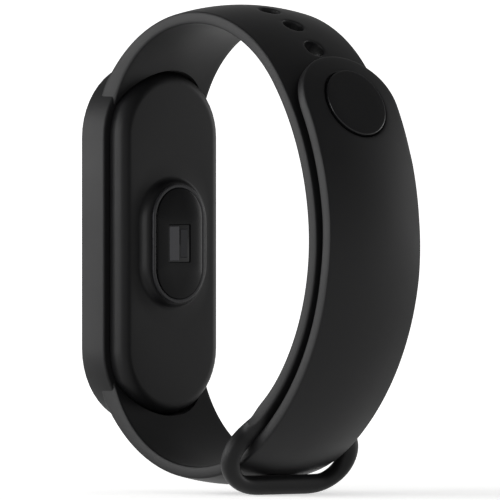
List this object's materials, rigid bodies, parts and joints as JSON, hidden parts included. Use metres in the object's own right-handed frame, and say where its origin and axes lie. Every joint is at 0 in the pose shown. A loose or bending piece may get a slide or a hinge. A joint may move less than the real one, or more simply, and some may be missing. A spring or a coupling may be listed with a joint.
{
  "type": "fitness tracker band",
  "caption": "Black fitness tracker band: a slim sensor capsule in a silicone carrier, with a crowned wrist strap closed by a round stud and an oval keeper loop.",
  "frame": {"origin": "middle of the wrist opening", "axes": "+X along the wearer's forearm, +Y from the display through the wrist to the stud closure, +Z along the capsule towards the stud end of the hole strap"},
  "size_m": [0.0242, 0.0528, 0.0666],
  "materials": {
    "silicone": "soft matt moulded silicone",
    "stud_plastic": "satin moulded plastic",
    "housing_plastic": "fine matt soft-touch coating",
    "frame_plastic": "satin moulded plastic",
    "seal_rubber": "soft seal",
    "front_glass": "polished black-printed glass",
    "adhesive": "black adhesive film",
    "display_film": "clear film",
    "display_panel": "dark display panel",
    "flex_film": "amber flexible circuit",
    "circuit_board": "green solder mask",
    "chip_resin": "moulded epoxy",
    "battery_foil": "satin laminated foil",
    "motor_steel": "drawn steel",
    "rotor_weight": "sintered heavy metal",
    "lamp_resin": "clear lamp resin",
    "sensor_glass": "dark coated sensor",
    "barrier_foam": "black light barrier",
    "window_plastic": "polished tinted plastic",
    "clear_window": "clear tinted plastic",
    "trim_plastic": "satin ring",
    "contact_gold": "gold plate"
  },
  "bodies": {
    "strap": {"carrier_frame": "silicone", "hole_strap": "silicone", "keeper_loop": "silicone", "stud_strap": "silicone"},
    "tongue": {"strap_tongue": "silicone", "stud_cap": "stud_plastic", "stud_peg": "stud_plastic"},
    "capsule": {"rear_housing": "housing_plastic", "mid_frame": "frame_plastic", "housing_seal": "seal_rubber", "front_glass": "front_glass", "glass_adhesive": "adhesive", "touch_layer": "display_film", "display_panel": "display_panel", "display_flex": "flex_film", "main_board": "circuit_board", "processor_chip": "chip_resin", "memory_chip": "chip_resin", "accelerometer": "chip_resin", "battery_cell": "battery_foil", "battery_board": "circuit_board", "motor_case": "motor_steel", "motor_shaft": "motor_steel", "sensor_board": "circuit_board", "sensor_leds": "lamp_resin", "photodiode": "sensor_glass", "optical_barrier": "barrier_foam", "window_surround": "window_plastic", "optical_window": "clear_window", "window_trim": "trim_plastic", "antenna": "contact_gold", "charge_contacts": "contact_gold", "contact_seals": "seal_rubber"},
    "rotor": {"motor_rotor": "rotor_weight"}
  },
  "joints": [
    {"name": "capsule_release", "type": "slide", "parent": "strap", "child": "capsule", "axis": [0, -1, 0], "range_m": [0, 0.012]},
    {"name": "tongue_peel", "type": "hinge", "parent": "strap", "child": "tongue", "pos_m": [0, 0.02461, 0.00218], "axis": [-1, 0, 0], "range_deg": [0, 60]},
    {"name": "motor_spin", "type": "hinge", "parent": "capsule", "child": "rotor", "pos_m": [0, -0.0222, 0.0166], "axis": [0, 1, 0], "continuous": true}
  ]
}
